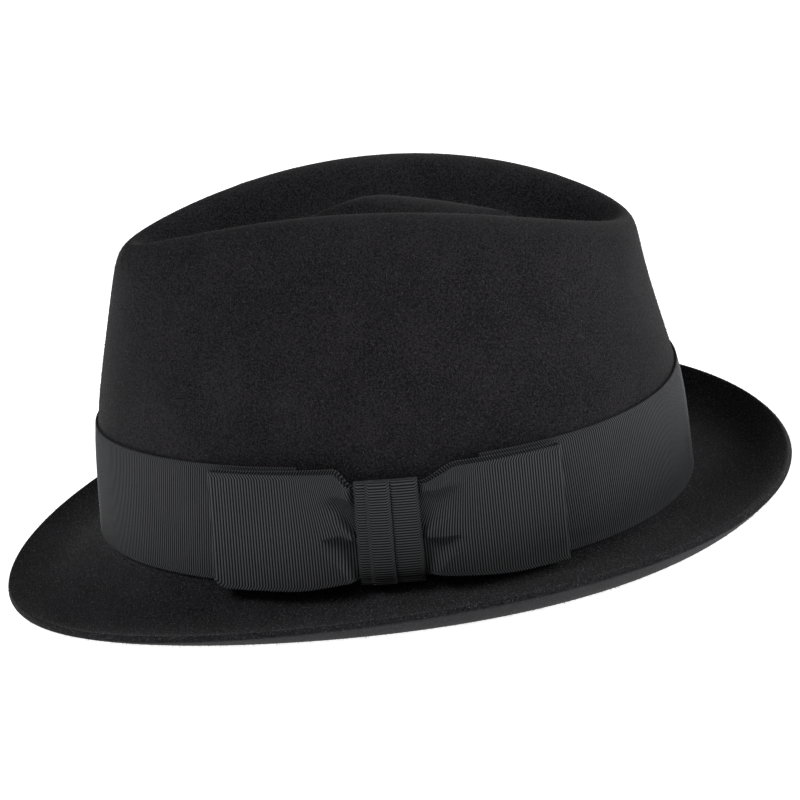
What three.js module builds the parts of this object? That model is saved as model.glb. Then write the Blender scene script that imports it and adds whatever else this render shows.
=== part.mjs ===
// A felt trilby: one felt hood (crown and brim), a ribbon band, and a flat bow on the wearer's left.
// Millimetres, +Z up. The front of the hat points along -Y and the wearer's left along +X.
// The hat is shaped level, with the foot of the crown's wall at height 0, and then set down
// on a flat surface as it would stand by itself: on the front of its brim and the back of it.

import * as THREE from "three";

// The felt at the foot of the crown, outside
const OVAL_LENGTH = 212.4;
const OVAL_WIDTH = 171;
const OVAL_EGG = 0.1; // how much of the half width the front loses and the back gains
const FELT = 2.4;
const FOOT_SINK = 2.3; // how far below height 0 the wall and the brim would meet in a corner
const EDGE_BULGE = 0.4; // how far the middle of the brim's cut edge stands out

// The crown
const RIM_FRONT = 105.5; // height of the rim round the crown's dent, at each place
const RIM_SIDE = 114;
const RIM_BACK = 92.5;
const RIM_TO_FRONT = 84; // how far the rim's crest reaches from the middle of the hat
const RIM_TO_BACK = 90.4;
const RIM_WIDTH = 68; // between the crests of its two sides
const RIM_EGG = 0.43; // the rim is a teardrop, narrow at the front
const DENT_DEPTH = 17; // of the groove inside the rim
const RIDGE_TOP = 110.5; // height of the raised middle of the dent, at its peak
const RIDGE_PLACE = 0; // of that peak, along Y
const RIDGE_FALL = 0.29; // how steeply the ridge falls away from its peak
const RIDGE_ROUND = 8; // how far from the peak it takes to reach that fall

// The brim
const BRIM_FRONT = 35.7; // width of the brim from the foot of the crown, seen from above
const BRIM_SIDE = 35.4;
const BRIM_BACK = 34;
const BRIM_EGG = 0.09; // as OVAL_EGG, at the brim's edge
const BRIM_QUARTER = 2.6; // extra width towards the back quarters, taken off the front ones
const EDGE_FRONT = -16.1; // height of the brim's upper edge, at each place
const EDGE_SIDE = 3.7;
const EDGE_BACK = 5.5;
const EDGE_QUARTER = -1.9; // extra height towards the back quarters, taken off the front ones
const GUTTER = 7.4; // how far the brim's middle hangs below a straight brim at its sides
const GUTTER_FRONT = 0.53; // share of that depth at the front
const GUTTER_BACK = 0.76; // and at the back

// The ribbon and the band
const RIBBON = 1; // thickness
const RIBBON_WIDTH = 40;
const SEAT = 0.3; // clearance between one piece and the next
const WALL_STRAIGHT = 6; // height below which the ribbons hang straight down
const BAND_LIFT = 0.3; // of the band's lower edge above the foot of the wall
const BAND_GAP_FRONT = 29; // from the bow's middle to the band's two ends, behind the bow
const BAND_GAP_REAR = 33;

// The bow
const BOW_PLACE = -13.7; // of the middle of its knot, along Y
const FRONT_LOOP = 55.9; // from the middle of the knot to the loop's outer fold
const REAR_LOOP = 59.4;
const BOW_DROP = 1; // how much lower than the band the loops sit
const KNOT_DROP = 2; // and the knot
const KNOT_WIDTH = 20.8;
const KNOT_HEIGHT = 34.5;
const KNOT_PLEAT = 0.6; // how far each pleat of the knot stands on the next
const LOOP_DEPTH = 3.4; // over both layers of a loop, at its outer fold
const FRONT_STAND = 3.6; // how far the outer fold of each loop stands off the band
const REAR_STAND = 1.2;

// Over which share of its free length each edge of a loop opens from the knot to full width
const FRONT_OPENS = { upper: 0.19, lower: 0.3 };
const REAR_OPENS = { upper: 0.26, lower: 0.6 };

// The folds that the knot pinches into the front layer of each loop.
// at: share of the ribbon's width above its lower edge. deep: share of PINCH.
const PINCH = 1.3; // how far the ribbon stands out between its folds
const FOLD_WIDTH = 0.08; // of the ribbon's width
const FRONT_FOLDS = [
  { at: 0.42, deep: 1 },
  { at: 0.78, deep: 0.8 },
];
const REAR_FOLDS = [
  { at: 0.38, deep: 1 },
  { at: 0.64, deep: 0.7 },
];

// How far the felt gives where it rests
const SETTLE = 0.5;

// Fineness of the faceted solids
const SEGMENTS = 80; // round the hood and the band
const BAND_ROWS = 4;
const LOOP_STEPS = 9; // along each layer of a loop
const FOLD_STEPS = 4; // round its outer fold
const LOOP_ROWS = 12; // across the ribbon's width

const FELT_LOOK = { color: 0x1b191b, roughness: 0.95, metalness: 0 };
const RIBBON_LOOK = { color: 0x242727, roughness: 0.6, metalness: 0 };

const HALF_LENGTH = OVAL_LENGTH / 2;
const HALF_WIDTH = OVAL_WIDTH / 2;

const mix = (a, b, share) => a + (b - a) * share;

// The brim's upper face, from its edge inwards.
// out: share of the brim's reach. slope: share of the edge's height. sag: share of the gutter's
// depth.
const BRIM_ROWS = [
  { out: 1, slope: 1, sag: 0 },
  { out: 0.93, slope: 0.96, sag: 0.36 },
  { out: 0.82, slope: 0.85, sag: 0.75 },
  { out: 0.64, slope: 0.66, sag: 1.03 },
  { out: 0.44, slope: 0.45, sag: 1.0 },
  { out: 0.25, slope: 0.25, sag: 0.62 },
  { out: 0.07, slope: 0.06, sag: 0.22 },
];

// The crown's wall from its foot to the rim's crest.
// up: share of the way from the foot to the crest. front, back, side: share of the way that
// the wall has come in from the oval to the rim.
const WALL_ROWS = [
  { up: 0, front: 0, back: 0, side: 0 },
  { up: 0.04, front: 0.01, back: 0.01, side: 0.004 },
  { up: 0.21, front: 0.05, back: 0.05, side: 0.06 },
  { up: 0.37, front: 0.1, back: 0.1, side: 0.11 },
  { up: 0.54, front: 0.26, back: 0.33, side: 0.19 },
  { up: 0.72, front: 0.47, back: 0.58, side: 0.34 },
  { up: 0.88, front: 0.65, back: 0.75, side: 0.56 },
  { up: 0.97, front: 0.78, back: 0.79, side: 0.78 },
  { up: 1.01, front: 0.98, back: 0.98, side: 0.96 },
];

// The dent inside the rim, from the crest to the ridge in its middle.
// front, back, side: share of the rim's own reach. deep: share of the dent's depth below the
// rim. rise: share of the ridge's height, which takes over from the rim's towards the middle.
const DENT_ROWS = [
  { front: 0.93, back: 0.94, side: 0.86, deep: 0.1, rise: 0 },
  { front: 0.89, back: 0.9, side: 0.77, deep: 0.5, rise: 0 },
  { front: 0.82, back: 0.85, side: 0.66, deep: 1.0, rise: 0 },
  { front: 0.68, back: 0.78, side: 0.52, deep: 1.05, rise: 0.15 },
  { front: 0.52, back: 0.68, side: 0.36, deep: 0.6, rise: 0.55 },
  { front: 0.38, back: 0.58, side: 0.18, deep: 0.12, rise: 0.9 },
  { front: 0.26, back: 0.5, side: 0, deep: 0, rise: 1 },
];

// A height that is one thing at the front, one at the sides and one at the back.
function heightAt(front, side, back, angle) {
  const along = Math.cos(angle);
  return side + ((back - front) / 2) * along + ((back + front) / 2 - side) * along ** 2;
}

// A measure that is added towards the back quarters, taken off towards the front quarters and
// nothing at the front, the back and the sides.
function quarterAt(measure, angle) {
  const along = Math.cos(angle);
  return measure * along * (1 - along ** 2);
}

// A point of an egg-shaped ring. Angle 0 is the back and a quarter turn the wearer's left.
function ringPoint({ front, back, side, egg }, angle, height) {
  const along = Math.cos(angle);
  const y = (back - front) / 2 + ((back + front) / 2) * along;
  const x = side * Math.sin(angle) * (1 + egg * along);
  return new THREE.Vector3(x, y, height);
}

function brimControl(row, angle) {
  const width = heightAt(BRIM_FRONT, BRIM_SIDE, BRIM_BACK, angle) + quarterAt(BRIM_QUARTER, angle);
  const reach = width * row.out;
  const ring = {
    front: HALF_LENGTH + reach,
    back: HALF_LENGTH + reach,
    side: HALF_WIDTH + reach,
    egg: mix(OVAL_EGG, BRIM_EGG, row.out),
  };
  const edge = heightAt(EDGE_FRONT, EDGE_SIDE, EDGE_BACK, angle) + quarterAt(EDGE_QUARTER, angle);
  const gutter = GUTTER * heightAt(GUTTER_FRONT, 1, GUTTER_BACK, angle);
  return ringPoint(ring, angle, mix(-FOOT_SINK, edge, row.slope) - gutter * row.sag);
}

function rimRing() {
  return { front: RIM_TO_FRONT, back: RIM_TO_BACK, side: RIM_WIDTH / 2, egg: RIM_EGG };
}

function wallControl(row, angle) {
  const rim = rimRing();
  const ring = {
    front: mix(HALF_LENGTH, rim.front, row.front),
    back: mix(HALF_LENGTH, rim.back, row.back),
    side: mix(HALF_WIDTH, rim.side, row.side),
    egg: mix(OVAL_EGG, rim.egg, row.side),
  };
  const rimHeight = heightAt(RIM_FRONT, RIM_SIDE, RIM_BACK, angle);
  return ringPoint(ring, angle, mix(-FOOT_SINK, rimHeight, row.up));
}

function dentControl(row, angle) {
  const rim = rimRing();
  const ring = {
    front: rim.front * row.front,
    back: rim.back * row.back,
    side: rim.side * row.side,
    egg: rim.egg,
  };
  const rimHeight = heightAt(RIM_FRONT, RIM_SIDE, RIM_BACK, angle);
  const point = ringPoint(ring, angle, 0);
  const away = Math.hypot(point.y - RIDGE_PLACE, RIDGE_ROUND) - RIDGE_ROUND;
  const ridge = RIDGE_TOP - RIDGE_FALL * away;
  return point.setZ(mix(rimHeight, ridge, row.rise) - DENT_DEPTH * row.deep);
}

function hoodControls(angle) {
  return [
    ...BRIM_ROWS.map((row) => brimControl(row, angle)),
    ...WALL_ROWS.map((row) => wallControl(row, angle)),
    ...DENT_ROWS.map((row) => dentControl(row, angle)),
  ];
}

// One point of a uniform cubic B-spline between its middle two control points.
function splinePoint([a, b, c, d], t) {
  return new THREE.Vector3()
    .addScaledVector(a, (1 - t) ** 3 / 6)
    .addScaledVector(b, (3 * t ** 3 - 6 * t ** 2 + 4) / 6)
    .addScaledVector(c, (-3 * t ** 3 + 3 * t ** 2 + 3 * t + 1) / 6)
    .addScaledVector(d, t ** 3 / 6);
}

// The hood's upper face at one angle, from the brim's edge over the rim to the ridge, with
// this many steps from each row of the tables to the next.
function meridian(angle, steps = 1) {
  const controls = hoodControls(angle);
  const beyondEdge = controls[0].clone().multiplyScalar(2).sub(controls[1]);
  const acrossRidge = controls.at(-2).clone();
  acrossRidge.x *= -1;
  const all = [beyondEdge, ...controls, acrossRidge];
  const points = [];
  for (let i = 0; i < controls.length - 1; i++) {
    for (let k = 0; k < steps; k++) points.push(splinePoint(all.slice(i, i + 4), k / steps));
  }
  const last = all.length - 3;
  points.push(splinePoint(all.slice(last - 1, last + 3), 1));
  return points;
}

// A closed or open sheet of points, as an indexed geometry: rows[i][j] is the j-th of row i.
function sheetIndex(rows, columns, closed, pointId) {
  const index = [];
  for (let i = 0; i < rows - 1; i++)
    for (let j = 0; j < (closed ? columns : columns - 1); j++) {
      const k = (j + 1) % columns;
      const [a, b, c, d] = [pointId(i, j), pointId(i, k), pointId(i + 1, k), pointId(i + 1, j)];
      if (a !== b) index.push(a, b, c);
      if (c !== d) index.push(a, c, d);
    }
  return index;
}

// The same triangles seen from the other side, with every point's number raised by shift.
function turned(index, shift = 0) {
  const other = [];
  for (let n = 0; n < index.length; n += 3)
    other.push(index[n] + shift, index[n + 2] + shift, index[n + 1] + shift);
  return other;
}

function solidFrom(points, index) {
  const geometry = new THREE.BufferGeometry();
  const flat = points.flatMap((p) => [p.x, p.y, p.z]);
  geometry.setAttribute("position", new THREE.Float32BufferAttribute(flat, 3));
  geometry.setIndex(index);
  return geometry;
}

// The hood's two faces and its cut edge, as points and triangles.
function hoodPoints() {
  const angles = Array.from({ length: SEGMENTS }, (_, j) => (2 * Math.PI * j) / SEGMENTS);
  const lines = angles.map((angle) => meridian(angle));
  const rows = lines[0].length;
  // On the ridge, the points at an angle and at its mirror image are one.
  const id = (i, j) => (i === rows - 1 ? i * SEGMENTS + Math.min(j, SEGMENTS - j) : i * SEGMENTS + j);
  const upper = Array.from({ length: rows * SEGMENTS }, (_, n) =>
    lines[n % SEGMENTS][Math.floor(n / SEGMENTS)],
  );
  const index = turned(sheetIndex(rows, SEGMENTS, true, id));
  const face = solidFrom(upper, index);
  face.computeVertexNormals();
  const normals = face.getAttribute("normal");
  const normal = (n) => new THREE.Vector3().fromBufferAttribute(normals, n);
  const lower = upper.map((p, n) => p.clone().addScaledVector(normal(n), -FELT));
  const edge = angles.map((angle, j) => {
    const outward = lines[j][0].clone().sub(lines[j][1]).setZ(0).normalize();
    return upper[j].clone().lerp(lower[j], 0.5).addScaledVector(outward, EDGE_BULGE);
  });
  const count = upper.length;
  const cut = [];
  for (let j = 0; j < SEGMENTS; j++) {
    const k = (j + 1) % SEGMENTS;
    const middle = 2 * count;
    cut.push(j, middle + k, middle + j, j, k, middle + k);
    cut.push(middle + j, count + k, count + j, middle + j, middle + k, count + k);
  }
  return {
    points: [...upper, ...lower, ...edge],
    index: [...index, ...turned(index, count), ...cut],
  };
}

// How the hat stands by itself: the tilt and lift that lay the lowest points in front of the
// middle and behind it on the surface.
function restPose(points) {
  const profile = points.map((p) => ({ y: p.y, z: p.z })).sort((p, q) => p.y - q.y);
  const hull = [];
  for (const p of profile) {
    while (hull.length > 1) {
      const [a, b] = hull.slice(-2);
      if ((b.y - a.y) * (p.z - a.z) - (b.z - a.z) * (p.y - a.y) > 0) break;
      hull.pop();
    }
    hull.push(p);
  }
  const behind = hull.findIndex((p) => p.y > 0);
  const [a, b] = [hull[behind - 1], hull[behind]];
  const tilt = -Math.atan2(b.z - a.z, b.y - a.y);
  const tilted = points.map((p) => p.clone().applyAxisAngle(new THREE.Vector3(1, 0, 0), tilt));
  const lows = tilted.map((p) => p.z);
  const ys = tilted.map((p) => p.y);
  const lift = -Math.min(...lows) - SETTLE;
  return { tilt, lift, shift: -(Math.min(...ys) + Math.max(...ys)) / 2 };
}

// The felt gives where it rests, so nothing reaches below the surface.
function flatten(points, { tilt, lift }) {
  const down = new THREE.Vector3(0, 0, 1).applyAxisAngle(new THREE.Vector3(1, 0, 0), -tilt);
  for (const p of points) {
    const above = p.dot(down) + lift;
    if (above < 0) p.addScaledVector(down, -above);
  }
}

// A point on the outside of the crown's wall, at an angle and a height. Near the wall's foot,
// where the felt turns out into the brim, it carries on straight down.
function wallPoint(angle, height) {
  const points = meridian(angle, 4).slice(BRIM_ROWS.length * 4);
  const above = points.findIndex((p) => p.z > Math.max(height, WALL_STRAIGHT));
  const [a, b] = [points[above - 1], points[above]];
  return a.clone().lerp(b, (height - a.z) / (b.z - a.z));
}

// The wall's outward direction there.
function wallNormal(angle, height) {
  const step = 0.02;
  const along = wallPoint(angle + step, height).sub(wallPoint(angle - step, height));
  const up = wallPoint(angle, height + 2).sub(wallPoint(angle, height - 1));
  return up.cross(along).normalize();
}

// Where the wall passes a given place along Y, on the wearer's left.
function angleAt(y) {
  return Math.acos(y / HALF_LENGTH);
}

// A point that stands off the wall at a place along Y and a height.
function offWall(y, height, off) {
  const angle = angleAt(y);
  return wallPoint(angle, height).addScaledVector(wallNormal(angle, height), off);
}

// A ribbon's solid from its two faces, each a list of lines of points across its width.
function ribbonSolid(outer, inner) {
  const rows = outer.length;
  const columns = outer[0].length;
  const points = [...outer.flat(), ...inner.flat()];
  const count = rows * columns;
  const at = (i, j) => i * columns + j;
  const index = sheetIndex(rows, columns, false, at);
  const rim = [];
  const border = (a, b) => rim.push(a, b, b + count, a, b + count, a + count);
  for (let j = 0; j < columns - 1; j++) {
    border(at(0, j + 1), at(0, j));
    border(at(rows - 1, j), at(rows - 1, j + 1));
  }
  for (let i = 0; i < rows - 1; i++) {
    border(at(i, 0), at(i + 1, 0));
    border(at(i + 1, columns - 1), at(i, columns - 1));
  }
  return solidFrom(points, [...index, ...turned(index, count), ...rim]);
}

function band() {
  const start = angleAt(BOW_PLACE - BAND_GAP_FRONT);
  const end = angleAt(BOW_PLACE + BAND_GAP_REAR) + 2 * Math.PI;
  const turn = (2 * Math.PI) / SEGMENTS;
  const angles = [start];
  for (let n = Math.ceil(start / turn + 0.2); n * turn < end - 0.2 * turn; n++) angles.push(n * turn);
  angles.push(end);
  const line = (angle, off) =>
    Array.from({ length: BAND_ROWS + 1 }, (_, i) => {
      const height = BAND_LIFT + (RIBBON_WIDTH * i) / BAND_ROWS;
      return wallPoint(angle, height).addScaledVector(wallNormal(angle, height), off);
    });
  return ribbonSolid(
    angles.map((angle) => line(angle, SEAT + RIBBON)),
    angles.map((angle) => line(angle, SEAT)),
  );
}

const smooth = (t) => t * t * (3 - 2 * t);
const clamp01 = (t) => Math.min(1, Math.max(0, t));

// Layers at the waist, where the knot holds them: how far each stands off the wall.
const KNOT_BACK = SEAT;
const WAIST_BACK = KNOT_BACK + RIBBON + SEAT;
const WAIST_FRONT = WAIST_BACK + RIBBON + SEAT;
const KNOT_FRONT = WAIST_FRONT + RIBBON + SEAT;
const WAIST_HEIGHT = KNOT_HEIGHT - 2 * RIBBON - 4 * SEAT;
const BOW_MIDDLE = BAND_LIFT + RIBBON_WIDTH / 2 - BOW_DROP;
const KNOT_MIDDLE = BAND_LIFT + RIBBON_WIDTH / 2 - KNOT_DROP;

// A loop of the bow: the ribbon leaves the knot, folds over at its outer end and comes back
// behind. Heading is -1 for the loop towards the front and 1 for the one towards the back,
// reach its length, stand how far its fold stands off the band, and folds its pinched folds.
function loop({ heading, reach, stand, opens, folds }) {
  const fold = (LOOP_DEPTH - RIBBON) / 2; // radius of the ribbon's middle round its outer fold
  const straight = reach - SEAT - fold - RIBBON / 2;
  const held = (KNOT_WIDTH / 2 + SEAT) / straight; // the share of it inside the knot
  const endBack = SEAT + RIBBON + stand + RIBBON / 2;
  const endFront = endBack + 2 * fold;
  const steps = Array.from({ length: LOOP_STEPS }, (_, i) => i / (LOOP_STEPS - 1));

  // One layer's stations. free: 0 at the knot and 1 at the outer fold.
  const layer = (waist, end, side) =>
    [-1, ...steps].map((free) => ({
      along: straight * (free < 0 ? 0 : mix(held, 1, free)),
      off: mix(waist + RIBBON / 2, end, smooth(clamp01(free * 1.15))),
      free: Math.max(0, free),
      outward: side,
      sideways: 0,
    }));
  const turn = Array.from({ length: FOLD_STEPS - 1 }, (_, i) => (Math.PI * (i + 1)) / FOLD_STEPS);
  const stations = [
    ...layer(WAIST_FRONT, endFront, 1),
    ...turn.map((angle) => ({
      along: straight + fold * Math.sin(angle),
      off: endBack + fold + fold * Math.cos(angle),
      free: 1,
      outward: Math.cos(angle),
      sideways: Math.sin(angle),
    })),
    ...layer(WAIST_BACK, endBack, -1).reverse(),
  ];

  const pinch = (up) =>
    1 - folds.reduce((sum, { at, deep }) => sum + deep * Math.exp(-(((up - at) / FOLD_WIDTH) ** 2)), 0);
  const face = (shift) =>
    stations.map(({ along, off, free, outward, sideways }) => {
      const edgeAt = (share, side) =>
        mix(KNOT_MIDDLE, BOW_MIDDLE, share) + (side * mix(WAIST_HEIGHT, RIBBON_WIDTH, share)) / 2;
      const top = edgeAt(smooth(clamp01(free / opens.upper)), 1);
      const bottom = edgeAt(smooth(clamp01(free / opens.lower)), -1);
      const front = outward === 1 ? PINCH : 0;
      const gather = front * smooth(clamp01(free / 0.1)) * (1 - smooth(clamp01(free / 0.6)));
      return Array.from({ length: LOOP_ROWS + 1 }, (_, j) => {
        const up = j / LOOP_ROWS;
        const y = BOW_PLACE + heading * (SEAT + along + shift * sideways);
        const height = mix(bottom, top, up);
        return offWall(y, height, off + gather * pinch(up) + shift * outward);
      });
    });
  const outer = face(RIBBON / 2);
  const inner = face(-RIBBON / 2);
  return heading > 0 ? ribbonSolid(inner, outer) : ribbonSolid(outer, inner);
}

// The knot: a ribbon in three pleats, wrapped round the waist of the bow.
function knot() {
  const pleats = [
    { across: 0, lift: 0 },
    { across: 0.2, lift: 0 },
    { across: 0.24, lift: 2 },
    { across: 0.58, lift: 1.6 },
    { across: 0.62, lift: 1 },
    { across: 1, lift: 1 },
  ];
  const deep = KNOT_FRONT + RIBBON - KNOT_BACK;
  const half = KNOT_HEIGHT / 2;
  // The wrap's outline seen from its side, and the hollow in it, counted the same way round.
  const outline = (inset, lift) => {
    const corner = 1.4 - inset * 0.6;
    const [near, far] = [KNOT_BACK + inset, KNOT_BACK + deep - inset + lift];
    const top = half - inset;
    return [
      [near, -top + corner],
      [near, top - corner],
      [near + corner, top],
      [far - corner, top],
      [far, top - corner],
      [far, 0],
      [far, -top + corner],
      [far - corner, -top],
      [near + corner, -top],
    ];
  };
  const section = (across, inset, lift) =>
    outline(inset, lift).map(([off, up]) =>
      offWall(BOW_PLACE + (across - 0.5) * KNOT_WIDTH, KNOT_MIDDLE + up, off),
    );
  const outer = pleats.map(({ across, lift }) => section(across, 0, lift * KNOT_PLEAT));
  const inner = pleats.map(({ across }) => section(across, RIBBON, 0));
  const columns = outer[0].length;
  const rows = outer.length;
  const count = rows * columns;
  const at = (i, j) => i * columns + j;
  const skin = sheetIndex(rows, columns, true, at);
  const ends = [];
  for (let j = 0; j < columns; j++) {
    const k = (j + 1) % columns;
    const [a, b] = [at(0, j), at(0, k)];
    ends.push(a, a + count, b + count, a, b + count, b);
    const [c, d] = [at(rows - 1, j), at(rows - 1, k)];
    ends.push(c, d, d + count, c, d + count, c + count);
  }
  const points = [...outer.flat(), ...inner.flat()];
  return solidFrom(points, [...skin, ...turned(skin, count), ...ends]);
}

function piece(name, geometry, look) {
  geometry.computeVertexNormals();
  const mesh = new THREE.Mesh(geometry, new THREE.MeshStandardMaterial(look));
  mesh.name = name;
  return mesh;
}

const FRONT = {
  heading: -1,
  reach: FRONT_LOOP,
  stand: FRONT_STAND,
  opens: FRONT_OPENS,
  folds: FRONT_FOLDS,
};
const REAR = {
  heading: 1,
  reach: REAR_LOOP,
  stand: REAR_STAND,
  opens: REAR_OPENS,
  folds: REAR_FOLDS,
};

const hood = hoodPoints();
const rest = restPose(hood.points);
flatten(hood.points, rest);

const hat = new THREE.Group();
hat.add(
  piece("felt_hood", solidFrom(hood.points, hood.index), FELT_LOOK),
  piece("ribbon_band", band(), RIBBON_LOOK),
  piece("bow_front_loop", loop(FRONT), RIBBON_LOOK),
  piece("bow_rear_loop", loop(REAR), RIBBON_LOOK),
  piece("bow_knot", knot(), RIBBON_LOOK),
);
hat.rotation.x = rest.tilt;
hat.position.set(0, rest.shift, rest.lift);

const standing = new THREE.Group();
standing.add(hat);

export default standing;
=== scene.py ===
"""A black fur-felt trilby with a grosgrain band and a flat bow, dressed for its photograph.

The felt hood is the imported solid, smoothed and given a nap of real fibres. The ribbons are woven
anew round the felt, rib by rib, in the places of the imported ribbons. Metres, +Z up; the front of
the hat points along -Y and the bow sits on the wearer's left, along +X.
"""

import logging
import math
from bisect import bisect_right
from collections.abc import Callable
from dataclasses import dataclass
from functools import cache

import bmesh
import bpy
from mathutils import Matrix, Vector
from mathutils.bvhtree import BVHTree


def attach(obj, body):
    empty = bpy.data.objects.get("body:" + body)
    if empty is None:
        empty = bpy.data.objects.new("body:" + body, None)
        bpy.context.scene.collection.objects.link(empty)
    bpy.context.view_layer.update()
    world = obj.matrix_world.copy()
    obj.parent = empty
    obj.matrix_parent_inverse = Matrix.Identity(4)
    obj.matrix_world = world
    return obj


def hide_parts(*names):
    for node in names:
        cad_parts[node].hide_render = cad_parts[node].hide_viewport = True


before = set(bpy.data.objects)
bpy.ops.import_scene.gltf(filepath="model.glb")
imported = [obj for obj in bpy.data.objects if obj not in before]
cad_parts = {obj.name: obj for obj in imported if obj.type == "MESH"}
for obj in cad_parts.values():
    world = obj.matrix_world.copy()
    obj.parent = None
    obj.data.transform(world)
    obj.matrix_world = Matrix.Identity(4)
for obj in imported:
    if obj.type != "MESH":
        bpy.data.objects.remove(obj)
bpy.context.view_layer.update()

MM = 0.001
BAND_LIFT = 0.3 * MM  # of the band's lower edge above the foot of the crown's wall
Colour = tuple[float, float, float, float]
log = logging.getLogger("trilby")


# Small helpers


def mix(a: float, b: float, share: float) -> float:
    """Return the value that lies this share of the way from a to b."""
    return a + (b - a) * share


def smooth(share: float) -> float:
    """Return a share, held to 0..1, with a soft start and a soft stop."""
    t = min(1.0, max(0.0, share))
    return t * t * (3 - 2 * t)


def new_piece(name: str, mesh: bmesh.types.BMesh) -> bpy.types.Object:
    """Turn a finished bmesh into a smooth-shaded object at the origin.

    Args:
        name: The piece's plain name.
        mesh: The bmesh, in the row frame, in metres. It is freed.

    Returns:
        The new object, linked to the scene.
    """
    data = bpy.data.meshes.new(name)
    mesh.to_mesh(data)
    mesh.free()
    data.shade_smooth()
    piece = bpy.data.objects.new(name, data)
    bpy.context.scene.collection.objects.link(piece)
    return piece


def apply_modifiers(piece: bpy.types.Object) -> None:
    """Replace a piece's mesh by what its modifiers make of it."""
    bpy.context.view_layer.update()
    finished = piece.evaluated_get(bpy.context.evaluated_depsgraph_get())
    made = bpy.data.meshes.new_from_object(finished)
    piece.modifiers.clear()
    piece.data = made
    made.shade_smooth()


def dress(piece: bpy.types.Object, material: bpy.types.Material) -> None:
    """Give a piece its material and its material slot, and seat it on the hat."""
    piece.data.materials.clear()
    piece.data.materials.append(material)
    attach(piece, "root")
    log.info("%s: %d faces", piece.name, len(piece.data.polygons))


# Node groups and finishes


@dataclass
class NodeMaker:
    """Adds nodes to one tree, and joins them."""

    tree: bpy.types.NodeTree

    def add(self, kind: str, **settings: object) -> bpy.types.Node:
        """Add a node of a kind, with its properties set, and return it."""
        node = self.tree.nodes.new(kind)
        for key, value in settings.items():
            setattr(node, key, value)
        return node

    def join(self, source: bpy.types.NodeSocket, target: bpy.types.NodeSocket) -> None:
        """Link an output to an input."""
        self.tree.links.new(source, target)

    def feed(self, target: bpy.types.NodeSocket, value: object) -> None:
        """Link an input to an output, or set it to a number or a colour."""
        if isinstance(value, bpy.types.NodeSocket):
            self.join(value, target)
        else:
            target.default_value = value

    def maths(self, operation: str, *values: object) -> bpy.types.NodeSocket:
        """Add a Math node fed by sockets or numbers.

        Args:
            operation: The Math node's operation.
            values: Its inputs in order, each a socket or a number.

        Returns:
            The node's output.
        """
        node = self.add("ShaderNodeMath", operation=operation)
        for target, value in zip(node.inputs, values):
            self.feed(target, value)
        return node.outputs[0]

    def blend(self, share: object, a: object, b: object) -> bpy.types.NodeSocket:
        """Mix two colours.

        Args:
            share: Socket or number, 0 for the first colour and 1 for the second.
            a: The first colour, a socket or four numbers.
            b: The second.

        Returns:
            The mixed colour's output.
        """
        node = self.add("ShaderNodeMix", data_type="RGBA")
        for place, value in ((0, share), (6, a), (7, b)):
            self.feed(node.inputs[place], value)
        return node.outputs[2]


def set_inputs(node: bpy.types.Node, values: dict[str, object]) -> None:
    """Set inputs of a node by their names."""
    for name, value in values.items():
        node.inputs[name].default_value = value


@cache
def mottle_group() -> bpy.types.NodeTree:
    """Build the group that breaks a dyed colour up, once: cloudy patches under a fine grain.

    Returns:
        A group that puts out a colour and the grain as a height.
    """
    tree = bpy.data.node_groups.new("dye_mottle", "ShaderNodeTree")
    for way, label, kind in (
        ("INPUT", "Place", "Vector"),
        ("INPUT", "Dark", "Color"),
        ("INPUT", "Light", "Color"),
        ("INPUT", "Patch Scale", "Float"),
        ("INPUT", "Grain Scale", "Float"),
        ("INPUT", "Grain Share", "Float"),
        ("OUTPUT", "Colour", "Color"),
        ("OUTPUT", "Grain", "Float"),
    ):
        tree.interface.new_socket(label, in_out=way, socket_type=f"NodeSocket{kind}")
    make = NodeMaker(tree)
    given, result = make.add("NodeGroupInput"), make.add("NodeGroupOutput")
    patch = make.add("ShaderNodeTexNoise")
    set_inputs(patch, {"Detail": 3})
    grain = make.add("ShaderNodeTexNoise")
    set_inputs(grain, {"Detail": 4, "Roughness": 0.7})
    for noise, scale in ((patch, "Patch Scale"), (grain, "Grain Scale")):
        make.join(given.outputs["Place"], noise.inputs["Vector"])
        make.join(given.outputs[scale], noise.inputs["Scale"])
    noise_mean, noise_spread = 0.5, 3.0
    speckle = make.maths("SUBTRACT", grain.outputs["Fac"], noise_mean)
    speckle = make.maths("MULTIPLY", speckle, given.outputs["Grain Share"])
    speckle = make.maths("MULTIPLY", speckle, noise_spread)
    share = make.maths("ADD", patch.outputs["Fac"], speckle)
    colour = make.blend(share, given.outputs["Dark"], given.outputs["Light"])
    make.join(colour, result.inputs["Colour"])
    make.join(grain.outputs["Fac"], result.inputs["Grain"])
    return tree


def new_material(name: str) -> tuple[bpy.types.Material, NodeMaker, bpy.types.Node]:
    """Make a material with one Principled shader.

    Args:
        name: The material's name.

    Returns:
        The material, a maker for its nodes, and its shader.
    """
    material = bpy.data.materials.new(name)
    material.use_nodes = True
    material.node_tree.nodes.clear()
    make = NodeMaker(material.node_tree)
    shader = make.add("ShaderNodeBsdfPrincipled")
    output = make.add("ShaderNodeOutputMaterial")
    make.join(shader.outputs[0], output.inputs[0])
    return material, make, shader


def shaded(colour: Colour, share: float) -> Colour:
    """Return a colour made darker, to a share of its brightness."""
    return *(share * part for part in colour[:3]), 1


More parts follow.
